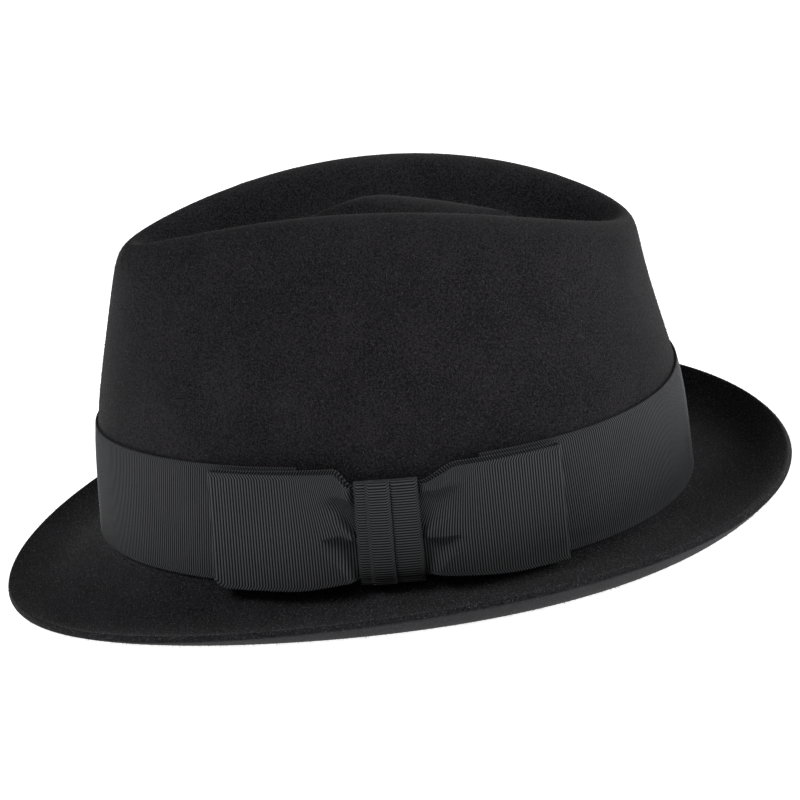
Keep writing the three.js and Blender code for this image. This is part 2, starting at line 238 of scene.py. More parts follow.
@dataclass(frozen=True)
class Dye:
    """How a dyed colour varies: between two colours, in broad patches under a fine grain."""

    dark: Colour
    light: Colour
    patch_scale: float
    grain_scale: float
    grain_share: float

    def add(self, make: NodeMaker) -> bpy.types.Node:
        """Add the dye to a material.

        Args:
            make: The maker for the material's nodes.

        Returns:
            The node of the mottling group.
        """
        place = make.add("ShaderNodeTexCoord")
        node = make.add("ShaderNodeGroup", node_tree=mottle_group())
        make.join(place.outputs["Object"], node.inputs["Place"])
        settings = {"Dark": self.dark, "Light": self.light, "Patch Scale": self.patch_scale}
        settings |= {"Grain Scale": self.grain_scale, "Grain Share": self.grain_share}
        set_inputs(node, settings)
        return node


def add_bump(
    make: NodeMaker, shader: bpy.types.Node, height: bpy.types.NodeSocket, distance: float
) -> None:
    """Raise a shader's surface by a height of 0 to 1 times a distance."""
    bump = make.add("ShaderNodeBump")
    set_inputs(bump, {"Strength": 1.0, "Distance": distance})
    make.join(height, bump.inputs["Height"])
    make.join(bump.outputs[0], shader.inputs["Normal"])


@dataclass(frozen=True)
class FeltFinish:
    """Matt black fur felt: a cloudy dye, a fine nap, and a soft glow where it is seen edge on."""

    name: str = "black_fur_felt"
    dye: Dye = Dye(
        dark=(0.002, 0.0018, 0.0021, 1),
        light=(0.0185, 0.017, 0.0197, 1),
        patch_scale=55.0,
        grain_scale=1650.0,
        grain_share=2.3,
    )
    nap_height: float = 0.24 * MM
    roughness: float = 0.95
    specular: float = 0.12
    sheen: float = 0.06
    sheen_roughness: float = 0.5

    def build(self) -> bpy.types.Material:
        """Make the material.

        Returns:
            The felt's material.
        """
        material, make, shader = new_material(self.name)
        dye = self.dye.add(make)
        make.join(dye.outputs["Colour"], shader.inputs["Base Color"])
        add_bump(make, shader, dye.outputs["Grain"], self.nap_height)
        settings = {"Roughness": self.roughness, "Specular IOR Level": self.specular}
        settings |= {"Sheen Weight": self.sheen, "Sheen Roughness": self.sheen_roughness}
        set_inputs(shader, settings)
        return material


@dataclass(frozen=True)
class FibreFinish:
    """The loose fibres of the nap, some darker than others."""

    name: str
    colour: Colour
    shade: float = 0.4  # of the darkest fibres, as a share of the colour
    roughness: float = 0.7

    def build(self) -> bpy.types.Material:
        """Make the material.

        Returns:
            The fibres' material.
        """
        material, make, shader = new_material(self.name)
        dark = shaded(self.colour, self.shade)
        dye = Dye(dark, self.colour, patch_scale=300.0, grain_scale=2500.0, grain_share=0.6)
        make.join(dye.add(make).outputs["Colour"], shader.inputs["Base Color"])
        set_inputs(shader, {"Roughness": self.roughness})
        return material


@dataclass(frozen=True)
class RibbonFinish:
    """Charcoal grosgrain: satin ribs, with painted shade darkening the grooves between them."""

    name: str = "charcoal_grosgrain"
    rib: Colour = (0.076, 0.079, 0.0845, 1)
    # Painted shade: the grooves between the ribs are coloured near black, in place of the shadow they
    # hold.
    groove_shade: Colour = (0.0008, 0.0009, 0.001, 1)
    shade: float = 0.72  # of the darkest threads, as a share of the ribs' colour
    contrast: float = 4.0  # how narrow the bright crests of the ribs are
    thread_height: float = 0.03 * MM
    roughness: float = 0.45
    specular: float = 0.25
    sheen: float = 0.03
    sheen_roughness: float = 0.3

    def build(self) -> bpy.types.Material:
        """Make the material.

        Returns:
            The ribbon's material.
        """
        material, make, shader = new_material(self.name)
        dark = shaded(self.rib, self.shade)
        dye = Dye(dark, self.rib, patch_scale=60.0, grain_scale=2200.0, grain_share=0.7).add(make)
        height = make.add("ShaderNodeAttribute", attribute_name="rib", attribute_type="GEOMETRY")
        crest = make.maths("POWER", height.outputs["Fac"], self.contrast)
        dull = make.maths("MULTIPLY_ADD", crest, self.roughness - 1.0, 1.0)
        make.join(dull, shader.inputs["Roughness"])
        # Painted shade: low in the grooves the colour goes to the near-black groove shade, and on the
        # crests it is the ribbon's own dyed colour.
        colour = make.blend(crest, self.groove_shade, dye.outputs["Colour"])
        make.join(colour, shader.inputs["Base Color"])
        add_bump(make, shader, dye.outputs["Grain"], self.thread_height)
        settings = {"Specular IOR Level": self.specular, "Sheen Weight": self.sheen}
        set_inputs(shader, settings | {"Sheen Roughness": self.sheen_roughness})
        return material


# The hat's own frame


def find_seat(band: bpy.types.Object) -> Matrix:
    """Find how the hat's own level frame stands in the row frame.

    Its height 0 is the foot of the crown's wall. It comes from the front and back points of the
    packed band's lower edge.

    Args:
        band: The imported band.

    Returns:
        The matrix from the hat's own frame to the row frame.
    """
    on_middle = 0.5 * MM
    middle = [v.co for v in band.data.vertices if abs(v.co.x) < on_middle]
    edge = []
    for side in (-1, 1):
        corners = [co for co in middle if co.y * side > 0]
        lowest = min(co.z for co in corners)
        lower = [co for co in corners if co.z < lowest + MM]
        edge.append(max(lower, key=lambda co: co.y * side))
    front, back = edge
    tilt = math.atan2(back.z - front.z, back.y - front.y)
    centre = (front + back) / 2
    centre.x = 0
    log.info("seat: tilt %.3f degrees, centre %s", math.degrees(tilt), centre)
    turn = Matrix.Rotation(tilt, 4, "X")
    return Matrix.Translation(centre) @ turn @ Matrix.Translation((0, 0, -BAND_LIFT))


class CrownWall:
    """The outside of the crown's felt wall, in the hat's own frame."""

    STRAIGHT = 6 * MM  # height below which ribbons hang straight down
    STEP = 3 * MM  # over which the wall's direction is taken
    TURN_STEP = 0.03  # the same round the crown, in radians
    INTO = 0.3 * MM  # from the felt's inside into its thickness

    def __init__(self, hood: bpy.types.Object, seat: Matrix) -> None:
        """Read the dressed hood.

        Args:
            hood: The smooth felt hood.
            seat: From the hat's own frame to the row frame.
        """
        mesh = bmesh.new()
        mesh.from_mesh(hood.data)
        mesh.transform(seat.inverted())
        self.tree = BVHTree.FromBMesh(mesh)
        mesh.free()

    def _cast(self, middle: Vector, outward: Vector) -> Vector:
        """Find the wall's outside in a direction from inside the crown.

        Args:
            middle: A point inside the hollow crown.
            outward: The level direction.

        Returns:
            The point where the direction leaves the felt.
        """
        inside = self.tree.ray_cast(middle, outward)[0]
        outside = self.tree.ray_cast(inside + outward * self.INTO, outward)[0]
        return outside

    def _standing(self, low: Callable[[float], Vector], height: float) -> Vector:
        """Find a wall point, carried straight down below the height where the felt turns out."""
        if height >= self.STRAIGHT:
            return low(height)
        foot, above = low(self.STRAIGHT), low(self.STRAIGHT + self.STEP)
        return foot + (foot - above) * ((self.STRAIGHT - height) / self.STEP)

    def round(self, angle: float, height: float) -> Vector:
        """Find the wall point in a direction round the crown: 0 the back, a quarter turn the left."""
        outward = Vector((math.sin(angle), math.cos(angle), 0))
        return self._standing(lambda h: self._cast(Vector((0, 0, h)), outward), height)

    def beside(self, along: float, height: float) -> Vector:
        """Find the wall point on the wearer's left, at a place along Y."""
        outward = Vector((1, 0, 0))
        return self._standing(lambda h: self._cast(Vector((0, along, h)), outward), height)

    def stand_off(
        self, find: Callable[[float, float], Vector], a: float, height: float
    ) -> tuple[Vector, Vector]:
        """Find a wall point and the wall's outward direction there.

        Args:
            find: Either round or beside.
            a: The angle or the place along Y.
            height: The height.

        Returns:
            The point and the unit outward direction.
        """
        point = find(a, height)
        step = self.TURN_STEP if find == self.round else self.STEP
        side = find(a + step, height) - find(a - step, height)
        up = find(a, height + self.STEP) - find(a, height - self.STEP)
        outward = side.cross(up).normalized()
        flat = Vector((point.x, point.y, 0))
        return point, outward if outward.dot(flat) > 0 else -outward


# The felt


@dataclass(frozen=True)
class Sheaf:
    """One scatter of loose fibres over the felt."""

    name: str
    count: int  # roughly
    seed: int
    finish: FibreFinish
    reach: float  # length, as a share of the usual fibre
    on_brim: bool = False  # on the brim's upper face alone


BLACK_NAP = FibreFinish("black_nap", (0.06, 0.056, 0.061, 1))
PALE_STRAYS = FibreFinish("pale_stray_fibres", (0.15, 0.145, 0.15, 1))
# Pale fibres on the brim's upper face alone: partly the felt's own stray fibres, partly painted
# light, brightening the upward face as if lit from above.
PALE_BRIM_FIBRES_AND_TOP_LIGHT = FibreFinish("pale_brim_fibres_and_painted_light", (0.25, 0.238, 0.244, 1))
SHEAVES = (
    Sheaf("felt_nap_short", 31000, 3, BLACK_NAP, 0.8),
    Sheaf("felt_nap_long", 31000, 7, BLACK_NAP, 1.1),
    Sheaf("stray_fibres", 22000, 11, PALE_STRAYS, 1.0),
    Sheaf("brim_fibres_and_painted_light", 20000, 19, PALE_BRIM_FIBRES_AND_TOP_LIGHT, 0.9, on_brim=True),
)


@dataclass
class FeltHood:
    """The crown and brim, one piece of felt, with its nap."""

    finish: FeltFinish = FeltFinish()
    crease: float = 0.35  # of the brim's cut edge, so it is only a little rounded
    levels: int = 2  # of smoothing
    rounds: int = 3  # in which the corners are pushed out again
    fibre_length: float = 1.1 * MM
    fibre_radius: float = 0.04 * MM
    fibre_sizes: tuple[float, float] = (0.5, 1.3)  # smallest and largest, as shares of the usual
    fibre_turn: tuple[float, float, float] = (1.25, 1.25, 3.1)  # furthest about each axis, radians
    brim_top: float = 45 * MM  # height under which the felt that shows is the brim
    brim_slope: float = 0.4  # least upward part of the brim's upper face's direction

    WELD = 0.004 * MM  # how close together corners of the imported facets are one
    SHARP = 0.9  # least angle, in radians, at the two edges of the brim's cut
    SKEW = 3.1  # most that the sides of two facets may differ in direction and still join

    def build(self) -> bpy.types.Object:
        """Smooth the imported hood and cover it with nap.

        Returns:
            The hood.
        """
        hood = self._smooth_hood()
        dress(hood, self.finish.build())
        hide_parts("felt_hood")
        for sheaf in SHEAVES:
            dress(self._fibres(hood, sheaf), sheaf.finish.build())
        return hood

    def _smooth_hood(self) -> bpy.types.Object:
        """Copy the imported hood, join its facets into quads, and round them off."""
        mesh = bmesh.new()
        mesh.from_mesh(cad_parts["felt_hood"].data)
        bmesh.ops.remove_doubles(mesh, verts=mesh.verts, dist=self.WELD)
        bmesh.ops.dissolve_degenerate(mesh, dist=self.WELD, edges=mesh.edges)
        bmesh.ops.join_triangles(
            mesh,
            faces=mesh.faces,
            angle_face_threshold=self.SHARP,
            angle_shape_threshold=self.SKEW,
        )
        sharp = mesh.edges.layers.float.new("crease_edge")
        for edge in mesh.edges:
            if len(edge.link_faces) == 2 and edge.calc_face_angle(0.0) > self.SHARP:
                edge[sharp] = self.crease
        hood = new_piece("felt_hood_dressed", mesh)
        rounding = hood.modifiers.new("rounding", "SUBSURF")
        rounding.levels = rounding.render_levels = self.levels
        self._keep_corners(hood)
        apply_modifiers(hood)
        return hood

    def _keep_corners(self, hood: bpy.types.Object) -> None:
        """Push the corners out until the smoothed felt passes through where they were.

        Args:
            hood: The hood, its smoothing still a modifier.
        """
        wanted = [v.co.copy() for v in hood.data.vertices]
        for _ in range(self.rounds):
            bpy.context.view_layer.update()
            smoothed = hood.evaluated_get(bpy.context.evaluated_depsgraph_get()).data
            shifts = [co - smoothed.vertices[i].co for i, co in enumerate(wanted)]
            for vert, shift in zip(hood.data.vertices, shifts):
                vert.co += shift

    def _fibres(self, hood: bpy.types.Object, sheaf: Sheaf) -> bpy.types.Object:
        """Scatter fine closed spikes over the felt.

        Args:
            hood: The felt that they stand on.
            sheaf: Which fibres.

        Returns:
            The fibres, one mesh.
        """
        tree = bpy.data.node_groups.new(sheaf.name, "GeometryNodeTree")
        for way in ("INPUT", "OUTPUT"):
            tree.interface.new_socket("Geometry", in_out=way, socket_type="NodeSocketGeometry")
        make = NodeMaker(tree)
        given, result = make.add("NodeGroupInput"), make.add("NodeGroupOutput")
        scatter = make.add("GeometryNodeDistributePointsOnFaces")
        make.join(given.outputs[0], scatter.inputs["Mesh"])
        area = self._area(hood, sheaf.on_brim)
        set_inputs(scatter, {"Density": sheaf.count / area, "Seed": sheaf.seed})
        if sheaf.on_brim:
            make.join(self._brim_test(make), scatter.inputs["Selection"])
        spike = make.add("GeometryNodeMeshCone", fill_type="NGON")
        set_inputs(spike, {"Vertices": 3, "Radius Top": 0.0, "Radius Bottom": self.fibre_radius})
        set_inputs(spike, {"Depth": self.fibre_length * sheaf.reach})
        lean = make.add("FunctionNodeRandomValue", data_type="FLOAT_VECTOR")
        lean.inputs[0].default_value = [-most for most in self.fibre_turn]
        lean.inputs[1].default_value = self.fibre_turn
        set_inputs(lean, {"Seed": sheaf.seed + 1})
        turn = make.add("FunctionNodeRotateEuler", rotation_type="EULER", space="LOCAL")
        make.join(scatter.outputs["Rotation"], turn.inputs["Rotation"])
        make.join(lean.outputs[0], turn.inputs["Rotate By"])
        size = make.add("FunctionNodeRandomValue", data_type="FLOAT")
        size.inputs[2].default_value, size.inputs[3].default_value = self.fibre_sizes
        set_inputs(size, {"Seed": sheaf.seed + 2})
        planted = make.add("GeometryNodeInstanceOnPoints")
        make.join(scatter.outputs["Points"], planted.inputs["Points"])
        make.join(spike.outputs["Mesh"], planted.inputs["Instance"])
        make.join(turn.outputs[0], planted.inputs["Rotation"])
        make.join(size.outputs[1], planted.inputs["Scale"])
        real = make.add("GeometryNodeRealizeInstances")
        make.join(planted.outputs[0], real.inputs[0])
        make.join(real.outputs[0], result.inputs[0])
        fibres = bpy.data.objects.new(sheaf.name, hood.data.copy())
        bpy.context.scene.collection.objects.link(fibres)
        fibres.modifiers.new("nap", "NODES").node_group = tree
        apply_modifiers(fibres)
        return fibres

    def _area(self, hood: bpy.types.Object, on_brim: bool) -> float:
        """Measure the felt, or only the upper face of its brim."""
        faces = hood.data.polygons
        if on_brim:
            low = [face for face in faces if face.center.z < self.brim_top]
            faces = [face for face in low if face.normal.z > self.brim_slope]
        return sum(face.area for face in faces)

    def _brim_test(self, make: NodeMaker) -> bpy.types.NodeSocket:
        """Add the nodes that are true on the upper face of the brim."""
        picked = make.add("FunctionNodeBooleanMath", operation="AND")
        for source, operation, limit, target in (
            ("GeometryNodeInputPosition", "LESS_THAN", self.brim_top, picked.inputs[0]),
            ("GeometryNodeInputNormal", "GREATER_THAN", self.brim_slope, picked.inputs[1]),
        ):
            split = make.add("ShaderNodeSeparateXYZ")
            make.join(make.add(source).outputs[0], split.inputs[0])
            test = make.add("FunctionNodeCompare", data_type="FLOAT", operation=operation)
            make.join(split.outputs["Z"], test.inputs["A"])
            set_inputs(test, {"B": limit})
            make.join(test.outputs[0], target)
        return picked.outputs[0]


# The ribbon


@dataclass(frozen=True)
class Grosgrain:
    """A ribbed ribbon's weave."""

    width: float = 40 * MM
    half_thickness: float = 0.36 * MM
    pitch: float = 0.89 * MM  # from rib to rib
    rib_height: float = 0.17 * MM
    selvedge: float = 1.5 * MM  # how far in from each edge the ribs lean over
    lean: float = 0.8 * MM  # how far they lean there
    scallop: float = 0.08 * MM  # how far each rib stands out of the ribbon's edge

    PHASES = (0.0, 0.22, 0.5, 0.78)  # of a rib, where it has its corners
    ROUNDNESS = 0.7  # under 1 makes the ribs broader than their grooves
    MEAN_RIB = 0.6  # height of the ribs at which the ribbon is as thick as its half_thickness
    EDGE_ROWS = (0.0, 0.25 * MM, 0.8 * MM)  # distances from the edge of the rows at a selvedge
    WELD = 0.01 * MM

    def ribs(self, length: float) -> int:
        """Count the ribs in a length of ribbon."""
        return max(1, round(length / self.pitch))

    def stations(self, length: float, closed: bool = False) -> list[float]:
        """List places along the ribbon, four to each rib.

        Args:
            length: The ribbon's length.
            closed: True where its end meets its start, so that the ribs close too.

        Returns:
            Distances from the start, from 0 to the length.
        """
        ribs = self.ribs(length)
        pitch = length / ribs
        inner = [(k + phase) * pitch for k in range(ribs) for phase in self.PHASES]
        return [*inner, length] if closed or inner[-1] < length else inner

    def rows(self, spacing: float) -> list[float]:
        """List places across the ribbon as shares of its width, closer at the selvedges."""
        edge = [*self.EDGE_ROWS, self.selvedge]
        far = [self.width - place for place in reversed(edge)]
        count = max(2, round((self.width - 2 * self.selvedge) / spacing))
        inner = [mix(edge[-1], far[0], i / count) for i in range(1, count)]
        return [place / self.width for place in [*edge, *inner, *far]]

    def rib(self, along: float, length: float) -> float:
        """Give the rib's height at a place along the ribbon, from 0 to 1."""
        return abs(math.sin(math.pi * along * self.ribs(length) / length)) ** self.ROUNDNESS

    def slant(self, across: float) -> float:
        """Give how far the ribs are shifted along the ribbon at a place across it."""
        edge = min(across, 1 - across) * self.width
        return self.lean * (1 - smooth(edge / self.selvedge))

    def weave(
        self,
        name: str,
        length: float,
        place: Callable[[float, float, float], Vector],
        spacing: float,
        closed: bool = False,
    ) -> bpy.types.Object:
        """Weave a ribbon along a path.

        Args:
            name: The piece's name.
            length: The ribbon's length.
            place: Gives a point in the row frame from a distance along the ribbon, a share
                of the way across it, and a distance off its middle surface.
            spacing: Distance between rows across the ribbon.
            closed: True where the ribbon's end meets its start.

        Returns:
            The closed ribbon, both faces ribbed.
        """
        stations = self.stations(length, closed)
        rows = self.rows(spacing)
        ring = [(row, 1) for row in rows] + [(row, -1) for row in reversed(rows)] + [(rows[0], 1)]
        mesh = bmesh.new()
        bmesh.ops.create_grid(
            mesh, x_segments=len(stations) - 1, y_segments=len(ring) - 1, size=0.5
        )
        rib_layer = mesh.verts.layers.float.new("rib")
        last = len(stations) - 1
        for vert in mesh.verts:
            i = round((vert.co.x + 0.5) * last)
            across, face = ring[round((vert.co.y + 0.5) * (len(ring) - 1))]
            along = stations[i]
            height = self.rib(along, length)
            lift = face * (self.half_thickness + self.rib_height * (height - self.MEAN_RIB))
            moved = along + self.slant(across)
            if not closed and i in (0, last):
                lift, moved = 0, along
            moved = moved % length if closed else min(length, max(0, moved))
            edge = {0.0: -1, 1.0: 1}.get(across, 0)
            shown = across + edge * self.scallop * height / self.width
            vert.co = place(moved, shown, lift)
            vert[rib_layer] = height
        bmesh.ops.remove_doubles(mesh, verts=mesh.verts, dist=self.WELD)
        bmesh.ops.recalc_face_normals(mesh, faces=mesh.faces)
        return new_piece(name, mesh)


@dataclass
class RibbonBand:
    """The ribbon round the foot of the crown, open behind the bow."""

    seat: Matrix
    wall: CrownWall
    ribbon: Grosgrain
    off: float = 0.58 * MM  # of the ribbon's middle, off the felt
    front_end: float = -42.7 * MM  # along Y
    rear_end: float = 19.3 * MM

    ANGLES = 1400  # steps in which the way round the crown is measured
    ROW_SPACING = 5 * MM

    def build(self, material: bpy.types.Material) -> bpy.types.Object:
        """Weave the band.

        Args:
            material: The ribbon's material.

        Returns:
            The band.
        """
        middle = BAND_LIFT + self.ribbon.width / 2
        start = self._angle(self.front_end, middle)
        end = self._angle(self.rear_end, middle) + 2 * math.pi
        angles = [mix(start, end, i / self.ANGLES) for i in range(self.ANGLES + 1)]
        points = [self.wall.round(angle, middle) for angle in angles]
        lengths = [0.0]
        for a, b in zip(points, points[1:]):
            lengths.append(lengths[-1] + (b - a).length)
        total = lengths[-1]
        cache: dict[tuple[float, float], tuple[Vector, Vector]] = {}

        def place(along: float, across: float, lift: float) -> Vector:
            """Put a point of the ribbon round the wall."""
            key = (round(along, 7), round(across, 6))
            if key not in cache:
                angle = self._between(lengths, angles, along)
                height = BAND_LIFT + across * self.ribbon.width
                cache[key] = self.wall.stand_off(self.wall.round, angle, height)
            point, outward = cache[key]
            return self.seat @ (point + outward * (self.off + lift))

        band = self.ribbon.weave("ribbon_band_woven", total, place, self.ROW_SPACING)
        dress(band, material)
        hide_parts("ribbon_band")
        return band

    def _angle(self, along: float, height: float) -> float:
        """Find the direction round the crown of a place along Y on the wearer's left."""
        point = self.wall.beside(along, height)
        return math.atan2(point.x, point.y)

    @staticmethod
    def _between(lengths: list[float], angles: list[float], along: float) -> float:
        """Find the angle at a length along the band."""
        low = min(max(bisect_right(lengths, along) - 1, 0), len(lengths) - 2)
        share = (along - lengths[low]) / (lengths[low + 1] - lengths[low])
        return mix(angles[low], angles[low + 1], share)


@dataclass(frozen=True)
class Gather:
    """How the knot gathers a loop's front layer into a ridge over a crease, under a valley.

    Places are shares of the ribbon's width from its lower edge. Lengths are the shares of the
    loop's free length over which the ribbon climbs out of the knot at each place.
    """

    crease: float  # place of the sharp crease
    valley: float  # place of the valley's bottom, at the knot
    drift: float  # how far up the valley moves for each whole free length away from the knot
    below: float  # length just under the crease
    dip: float  # how much lower the crease is where it runs out than at the knot
    ridge: float = 0.05  # length over the crease
    hollow: float = 0.34  # length in the valley
    top: float = 0.06  # length at the upper edge
    foot: float = 0.1  # length at the lower edge
    pocket: float = 1.5  # how much longer the ribbon stays deep in the valley and under the crease
    overlap: float = 0.75 * MM  # how far the ridge hangs down over the crease
    reach: float = 0.3  # share of the free length over which the crease runs out
    breadth: float = 0.25  # share of the width, to each side of the crease, that dips with it

    VALLEY_TOP = 0.93  # highest place that the valley drifts to
    RIDGE_WIDTH = 0.03  # of the ridge over the crease
    TOP_WIDTH = 0.24  # from the valley to where the ribbon climbs as at its upper edge
    HANG_WIDTH = 0.035  # of what hangs over the crease
    DIP_FADE = 0.5  # share of the free length over which the dip goes, beyond the crease

    def climb(self, free: float, across: float) -> float:
        """Give the share of the climb out of the knot that is done at a place on the loop.

        Args:
            free: Distance from the knot, as a share of the free length.
            across: Place across the ribbon.

        Returns:
            From 0, at the depth of the waist, to 1, at the loop's full depth.
        """
        valley = min(self.valley + self.drift * free, self.VALLEY_TOP)
        if across < self.crease:
            deep = smooth(across / self.crease)
            length = mix(self.foot, self.below, deep)
        elif across < valley:
            ridge = self.crease + self.RIDGE_WIDTH
            deep = smooth((across - ridge) / (valley - ridge))
            length = mix(self.ridge, self.hollow, deep)
        else:
            deep = 1 - smooth((across - valley) / self.TOP_WIDTH)
            length = mix(self.top, self.hollow, deep)
        return smooth(free / length) ** mix(1, self.pocket, deep)

    def droop(self, free: float, across: float) -> float:
        """Give how far the folded ribbon shifts towards the crease at a place on the loop."""
        apart = across - self.crease
        near = math.exp(-((apart / self.HANG_WIDTH) ** 2)) * (1 - smooth(free / self.reach))
        dipped = math.exp(-((apart / self.breadth) ** 2)) * min(1, free / self.reach)
        dipped *= 1 - smooth((free - self.reach) / self.DIP_FADE)
        return self.overlap * near * (-1 if apart > 0 else 1) - self.dip * dipped


@dataclass
class BowLoop:
    """One flat loop of the bow."""

    name: str
    node: str
    seat: Matrix
    wall: CrownWall
    ribbon: Grosgrain
    gather: Gather
    heading: int  # -1 towards the front of the hat and 1 towards the back
    reach: float  # from the middle of the knot to the outer fold
    stand: float  # how far the outer fold stands off the band
    upper_opens: float  # share of the free length over which the upper edge opens to full width
    lower_opens: float
    swell: float  # how far the front layer bulges beyond its outer fold, near the knot
    corner: float  # radius of the lower outer corner
    slip: float  # how much shorter the loop is at its upper edge, as a share of its length
    bow_middle: float  # height of its middle where it is fully open
    bow_place: float = -13.7 * MM  # of the middle of the knot, along Y
    knot_half: float = 10.4 * MM  # half the knot's width
    waist_height: float = 31.6 * MM  # of the loop inside the knot
    waist_middle: float = 18.2 * MM
    depth: float = 3.4 * MM  # over both layers, at the outer fold
    fan: float = 8.0 * MM  # how far the ribs' upper ends lean away from the knot beside it
    fan_reach: float = 0.6  # share of the loop over which they straighten
    sag: float = 0.6 * MM  # how much lower the front layer hangs than the back one
    front_waist: float = 2.9 * MM  # of the front layer's middle, off the felt
    back_waist: float = 1.9 * MM  # and of the back layer's
    band_face: float = 1.15 * MM  # the band's outside, off the felt

    BACK_RISE = 1.15  # how much sooner than its tip the back layer stands as far off as there
    CORNER_FADE = 2.2  # how fast the rounding of the lower corner goes, up the ribbon
    FAN_FROM = 0.4  # share of the width above which the ribs lean
    SWELL_RISE = 0.2  # share of the free length over which the bulge rises
    SWELL_TOP = 0.25  # share at which it starts to fall
    SWELL_FALL = 0.7  # and over which it falls
    ROW_SPACING = 0.7 * MM

    def build(self, material: bpy.types.Material) -> bpy.types.Object:
        """Weave the loop.

        Args:
            material: The ribbon's material.

        Returns:
            The loop.
        """
        bend = (self.depth - 2 * self.ribbon.half_thickness) / 2
        straight = self.reach - bend - self.ribbon.half_thickness
        turn = math.pi * bend
        total = 2 * straight + turn
        free_from = self.knot_half / straight
        end_back = self.band_face + self.stand + self.ribbon.half_thickness
        end_front = end_back + 2 * bend

        def place(along: float, across: float, lift: float) -> Vector:
            """Put a point of the ribbon on the loop's path."""
            if along <= straight:
                angle, run = 0.0, along + self._fanned(along, across)
            elif along >= straight + turn:
                angle, run = math.pi, total - along
            else:
                angle = math.pi * (along - straight) / turn
                run = straight + bend * math.sin(angle)
            side, sideways = math.cos(angle), math.sin(angle)
            free = max(0.0, (min(1.0, run / straight) - free_from) / (1 - free_from))
            top = self._edge(smooth(free / self.upper_opens), 1)
            bottom = self._edge(smooth(free / self.lower_opens), -1)
            droop = 0.0
            if angle == 0.0:
                off = self._front(end_front, free, across)
                droop = self.gather.droop(free, across)
            elif angle == math.pi:
                off = mix(self.back_waist, end_back, smooth(free * self.BACK_RISE))
            else:
                off = end_back + bend + bend * side
            tip = self.reach - run
            raised = 0.0
            if tip < self.corner:
                raised = self.corner - math.sqrt(max(0.0, self.corner**2 - (self.corner - tip) ** 2))
            raised *= 1 - smooth(across * self.CORNER_FADE)
            height = mix(bottom, top, across) + raised + droop
            height -= self.sag * smooth(across) * (1 + side) / 2
            run *= 1 - self.slip * across
            y = self.bow_place + self.heading * (run + lift * sideways)
            point, outward = self.wall.stand_off(self.wall.beside, y, height)
            return self.seat @ (point + outward * (off + lift * side))

        loop = self.ribbon.weave(self.name, total, place, self.ROW_SPACING)
        dress(loop, material)
        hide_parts(self.node)
        return loop

    def _edge(self, opened: float, side: int) -> float:
        """Give the height of the upper (1) or lower (-1) edge of a loop that has opened so far."""
        tall = mix(self.waist_height, self.ribbon.width, opened)
        return mix(self.waist_middle, self.bow_middle, opened) + side * tall / 2

    def _front(self, end: float, free: float, across: float) -> float:
        """Give how far off the felt the front layer's middle is at a place."""
        bulge = smooth(free / self.SWELL_RISE)
        bulge *= 1 - smooth((free - self.SWELL_TOP) / self.SWELL_FALL)
        return mix(self.front_waist, end + self.swell * bulge, self.gather.climb(free, across))

    def _fanned(self, run: float, across: float) -> float:
        """Give how far a rib leans away from the knot at a place, above the ribbon's middle."""
        fade = 1 - smooth(run / (self.fan_reach * self.reach))
        return self.fan * fade * smooth((across - self.FAN_FROM) / (1 - self.FAN_FROM))


@dataclass(frozen=True)
class Pleat:
    """One visible strip of the pleated knot."""

    start: float  # share of the knot's width
    end: float
    lift: float  # how far its front stands on the lowest strip
    tilt: float = 0.0  # how much further its end stands out than its start


